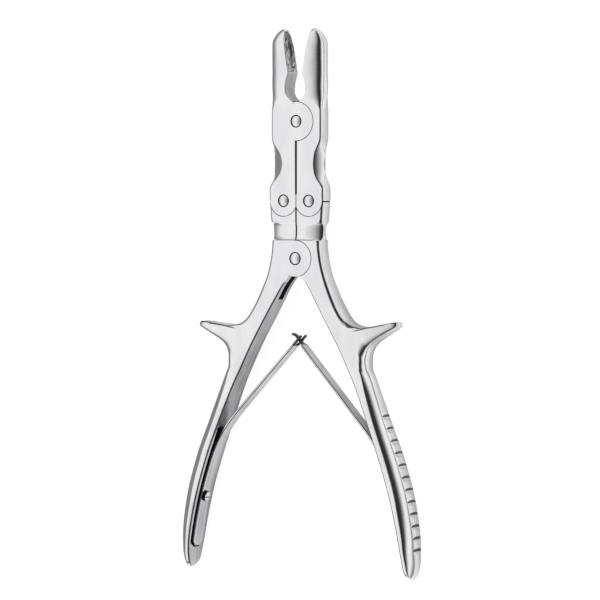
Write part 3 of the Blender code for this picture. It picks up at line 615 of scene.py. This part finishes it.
# The cups' hollows, cut with a round burr: painted glints in slanting streaks 0.9 mm apart between painted
# dull grey shade
burr_glints = steel("burr_glints_stainless", "FFFFFF", "7E7E80", 0.38, 0.5, math.radians(-50), 0.9)
for side, name in ((-1, "left_jaw_body"), (1, "right_jaw_body")):
    jaw(name, side)

# Pins
# Four stainless steel pins carry the double action: the main pivot, the jaw pivot and one link on each side.
# Each is turned from rod, pushed through its bore and riveted, which swells both its ends into low domes.
# The domes are polished bright, with the sharpest reflections on the instrument.
polished = steel("polished_stainless", "F2F2F3", "E9E9EB", 0.10, 0.25, 0.0)
DOME_RISE, DOME_SINK = 0.00048, 0.00012  # of a dome, and of its edge below the cheek's face


def pin(name, body, x, y, radius, half):
    """A riveted pin, from the dome on one face to the dome on the other."""
    profile = []
    for share in (0.02, 0.2, 0.4, 0.6, 0.78, 0.92, 1.0):
        profile.append((radius * share, half + DOME_RISE * (1 - share**2) - DOME_SINK))
    profile += [(r, -z) for r, z in reversed(profile)]
    rings = []
    for r, z in reversed(profile):
        ring = []
        for i in range(48):
            angle = math.tau * i / 48
            ring.append((x + r * math.cos(angle), y + r * math.sin(angle), MID + z))
        rings.append(ring)
    piece = sweep(name + "_dome", rings)
    bpy.ops.object.shade_smooth_by_angle(angle=math.radians(50))
    piece.data.materials.append(polished)
    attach(piece, body)
    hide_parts(name)


pin("main_pin", "left_handle", 0, MAIN_Y, 0.0023, LOCK_HALF)
pin("jaw_pin", "left_jaw", 0, JAW_Y, 0.0022, LINK_HALF)
pin("left_link_pin", "left_jaw", -LINK_X, LINK_Y, 0.0022, LINK_HALF)
pin("right_link_pin", "right_jaw", LINK_X, LINK_Y, 0.0022, LINK_HALF)

# Leaf springs
# Two strips of ground spring steel. Each lies in its handle's channel, held by the screw, and springs away
# towards the centre line, where the fork at the tip of the left one holds the hook of the right one.
LEAF_WIDTH, LEAF_TIP_WIDTH = 0.0076, 0.0054
LEAF_HALF_THICKNESS, LEAF_EDGE = 0.0006, 0.0003  # half the thickness, and the chamfer along the edges
HOOK_HALF = 0.0011  # half width of the right leaf's hook
SLOT_SIZE = (0.0094, 0.006, 0.0032)  # of the cut that makes the left leaf's fork


def leaf_path(side):
    """The middle line of a leaf up to where the two meet, its aim there, and that meeting point."""
    points = []
    for i in range(19):
        y = -124.0 + i * 2.0
        points.append(Vector((grip_face(y)[0] / 1000, MAIN_Y + y / 1000)))
    meet = Vector((0, MAIN_Y - 0.0345))
    bend = Vector((0.0271, MAIN_Y - 0.0651)) if side > 0 else Vector((0.0286, MAIN_Y - 0.0646))
    start = points[-1]
    run = (start - points[-2]).normalized()
    aim = (meet - bend).normalized()
    first, second = start + run * 0.0100, bend - aim * 0.0105
    for i in range(1, 17):
        t = i / 16
        near = (1 - t) ** 3 * start + 3 * t * (1 - t) ** 2 * first
        points.append(near + 3 * t * t * (1 - t) * second + t**3 * bend)
    for i in range(1, 9):
        points.append(bend.lerp(meet - aim * 0.0030, i / 8))
    return points, aim, meet


def leaf(name, side):
    """Sweeps a leaf with chamfered edges along its path and cuts the fork or narrows the hook at its tip."""
    path, aim, meet = leaf_path(side)
    up = Vector((aim.y, -aim.x))
    if side > 0:
        path += [meet - aim * 0.0022, meet + aim * 0.0022]
        path += [meet + aim * 0.0033 - up * 0.0003, meet + aim * 0.0041 - up * 0.0009]
    else:
        path += [meet + aim * 0.0013, meet + aim * 0.0026]
    rings = []
    last = len(path) - 1
    for k, point in enumerate(path):
        along = (path[min(k + 1, last)] - path[max(k - 1, 0)]).normalized()
        across = Vector((along.y, -along.x))
        half = (LEAF_WIDTH + (LEAF_TIP_WIDTH - LEAF_WIDTH) * k / last) / 2
        thick = LEAF_HALF_THICKNESS * (1 - 0.2 * k / last)
        if side > 0 and k >= last - 3:
            half = HOOK_HALF
        if k < 12:
            room = (channel_half((point.y - MAIN_Y) * 1000) - 1.5) / 1000
            half = min(half, max(0.0008, room))
        corners = []
        for sx, sz in ((1, 1), (-1, 1), (-1, -1), (1, -1)):
            pair = [(sx * thick, sz * (half - LEAF_EDGE)), (sx * (thick - LEAF_EDGE), sz * half)]
            corners += pair if sx == sz else pair[::-1]
        rings.append([(side * (point + across * u).x, (point + across * u).y, MID + w) for u, w in corners])
    piece = sweep(name + "_strip", rings)
    if side < 0:
        middle = Vector((-meet.x, meet.y, MID)) + Vector((-aim.x, aim.y, 0)) * 0.0020
        turn = math.atan2(aim.y, -aim.x)
        join(piece, block(middle, SLOT_SIZE, turn), "DIFFERENCE")
    bpy.ops.object.shade_smooth_by_angle(angle=math.radians(30))
    piece.data.materials.append(bright_spring)
    if side > 0:
        tint(piece, ground_spring, lambda c, n: abs(n.z) < 0.3)
    # Painted dark lines on the chamfers, and painted shade near the tips where the two leaves meet
    tint(piece, forged_edge_shade, lambda c, n: 0.3 < abs(n.z) < 0.9 or (abs(c.x) < 0.0045 and c.y > MAIN_Y - 0.0376))
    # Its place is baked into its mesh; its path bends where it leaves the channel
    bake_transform(piece)
    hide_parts(name)


# Hardened spring steel, polished along the left leaf: bright, with fine streaks along its length
bright_spring = steel("polished_spring_steel", "EDEDEF", "DDDDE0", 0.18, 0.3, math.radians(40))
# The right leaf's broad faces, only ground: an even pale grey
ground_spring = steel("ground_spring_steel", "D6D6D8", "C6C6C9", 0.25, 0.3, math.radians(-40))
leaf("left_spring", -1)
leaf("right_spring", 1)

# Spring screws
# A stainless steel screw with a low domed head and one slot holds each leaf in its channel. It is turned and
# polished like the pins, and its shank passes through the leaf into the handle.

# Radius and height over the handle's inner face, in millimetres, from the shank's end to the top of the head
SCREW_PROFILE = (
    (0.9, -4.2),
    (1.2, -3.8),
    (1.2, 0.85),
    (1.22, 0.9),
    (2.1, 0.9),
    (2.3, 1.05),
    (2.3, 1.3),
    (2.1, 1.65),
    (1.7, 1.95),
    (1.1, 2.15),
    (0.5, 2.22),
    (0.05, 2.23),
)
GROOVE_SIZE = (0.0014, 0.0006, 0.0060)


def screw(name, side):
    """A turned screw with a slot across its head, set square to the handle's inner face."""
    centre, out = screw_place(side)
    turn = out.to_track_quat("Z", "Y").to_matrix()
    rings = []
    for radius, height in SCREW_PROFILE:
        ring = []
        for i in range(40):
            angle = math.tau * i / 40
            spot = Vector((radius * math.cos(angle), radius * math.sin(angle), height)) / 1000
            ring.append(centre + turn @ spot)
        rings.append(ring)
    piece = sweep(name + "_head", rings)
    groove = block(centre + out * 0.0023, GROOVE_SIZE, math.atan2(out.y, out.x))
    join(piece, groove, "DIFFERENCE")
    bpy.ops.object.shade_smooth_by_angle(angle=math.radians(35))
    piece.data.materials.append(polished)
    # Painted shade on the sides of the head, in its slot and on the shank
    tint(piece, seam_shade, lambda c, n: n.dot(out) < 0.55)
    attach(piece, name.split("_")[0] + "_handle")
    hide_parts(name)


screw("left_spring_screw", -1)
screw("right_spring_screw", 1)

# Table, studio and camera
# The instrument lies on matt white paper on a plain table. The studio round it is white and pale grey, with
# one dark strip that the polished steel mirrors, and the camera looks down from 30 degrees to the right.
bpy.ops.object.select_all(action="DESELECT")
bpy.ops.mesh.primitive_plane_add(size=6, location=(0, 0, -0.0001))
table = bpy.context.object
table.name = "table"
paper = bpy.data.materials.new("white_paper")
paper.use_nodes = True
tree = paper.node_tree
tree.nodes.clear()
rays = add(tree, "ShaderNodeLightPath").outputs
seen = combine(tree, "MAXIMUM", rays["Is Camera Ray"], rays["Is Transmission Ray"])
plain = add(tree, "ShaderNodeMath", {"operation": "MULTIPLY", 1: 0.92}, {0: seen})
# In the steel the table's glow fades out to both sides, and under the instrument an occlusion test dims it:
# painted shade in the reflections
place = add(tree, "ShaderNodeSeparateXYZ", {}, {0: add(tree, "ShaderNodeTexCoord").outputs["Object"]}).outputs
slant = add(tree, "ShaderNodeMath", {"operation": "MULTIPLY_ADD", 1: -0.2}, {0: place["Y"], 2: place["X"]})
fade_in = {"From Min": -0.052, "From Max": -0.038, "To Min": 0.1, "To Max": 0.85}
left = add(tree, "ShaderNodeMapRange", fade_in, {"Value": slant.outputs[0]})
fade_out = {"From Min": 0.066, "From Max": 0.084, "To Min": 1.0, "To Max": 0.2}
right = add(tree, "ShaderNodeMapRange", fade_out, {"Value": place["X"]})
open_air = add(tree, "ShaderNodeAmbientOcclusion", {"samples": 6, "Distance": 0.014})
spread = combine(tree, "MULTIPLY", left.outputs[0], right.outputs[0])
shaded = combine(tree, "MULTIPLY", spread, open_air.outputs["AO"])
mirrored = combine(tree, "MULTIPLY", rays["Is Glossy Ray"], shaded)
lift = combine(tree, "MAXIMUM", plain.outputs[0], mirrored)
sheet = add(tree, "ShaderNodeBsdfDiffuse", {"Color": srgb("909090")})
glow = add(tree, "ShaderNodeEmission", {"Color": (1, 1, 1, 1)}, {"Strength": lift})
both = add(tree, "ShaderNodeAddShader", {}, {0: sheet.outputs[0], 1: glow.outputs[0]})
add(tree, "ShaderNodeOutputMaterial", {}, {"Surface": both.outputs[0]})
table.data.materials.append(paper)

world = bpy.data.worlds.new("studio")
bpy.context.scene.world = world
world.use_nodes = True
tree = world.node_tree
tree.nodes.clear()
sky = add(tree, "ShaderNodeTexCoord").outputs["Generated"]
axes = add(tree, "ShaderNodeSeparateXYZ", {}, {0: sky}).outputs
lean = add(tree, "ShaderNodeMath", {"operation": "ARCTAN2"}, {0: axes["X"], 1: axes["Z"]})
half_turn = {"From Min": -math.pi / 2, "From Max": math.pi / 2, "To Min": 0.0, "To Max": 1.0}
share = add(tree, "ShaderNodeMapRange", half_turn, {"Value": lean.outputs[0]})
strip = add(tree, "ShaderNodeValToRGB", {}, {0: share.outputs[0]})
# Degrees from straight up towards the right, and how bright the studio is there
stops = (
    (-90, 0.22),
    (-74, 0.38),
    (-54, 0.92),
    (-32, 0.97),
    (-12, 0.72),
    (2, 0.42),
    (14, 0.10),
    (24, 0.02),
    (40, 0.03),
    (46, 0.20),
    (52, 0.60),
    (58, 0.97),
    (74, 1.0),
    (85, 0.40),
)
ramp = strip.color_ramp
while len(ramp.elements) < len(stops):
    ramp.elements.new(0.5)
for element, (degrees, bright) in zip(ramp.elements, stops):
    element.position = (degrees + 90) / 180
    element.color = (bright, bright, bright, 1)
# Behind the instrument the studio itself is plain white
direct = add(tree, "ShaderNodeLightPath").outputs["Is Camera Ray"]
walls = add(tree, "ShaderNodeMix", {"data_type": "RGBA", 7: (1, 1, 1, 1)}, {0: direct, 6: strip.outputs[0]})
light = add(tree, "ShaderNodeBackground", {"Strength": 1.0}, {"Color": walls.outputs[2]})
add(tree, "ShaderNodeOutputWorld", {}, {"Surface": light.outputs[0]})

# Where the camera looks from, how far off it stands and what it looks at, in metres
tilt, rise = math.radians(30), math.radians(2)
distance, target = 1.5, Vector((0, 0.0006, MID))
toward = Vector((math.sin(tilt) * math.cos(rise), math.sin(rise), math.cos(tilt) * math.cos(rise)))
upward = (Vector((0, 1, 0)) - toward * toward.y).normalized()
lens = bpy.data.cameras.new("camera")
lens.lens = 213
lens.sensor_width = 36
camera = bpy.data.objects.new("camera", lens)
bpy.context.scene.collection.objects.link(camera)
camera.rotation_euler = Matrix((upward.cross(toward), upward, toward)).transposed().to_euler()
camera.location = target + toward * distance
bpy.context.scene.camera = camera
bpy.context.scene.view_settings.view_transform = "Standard"
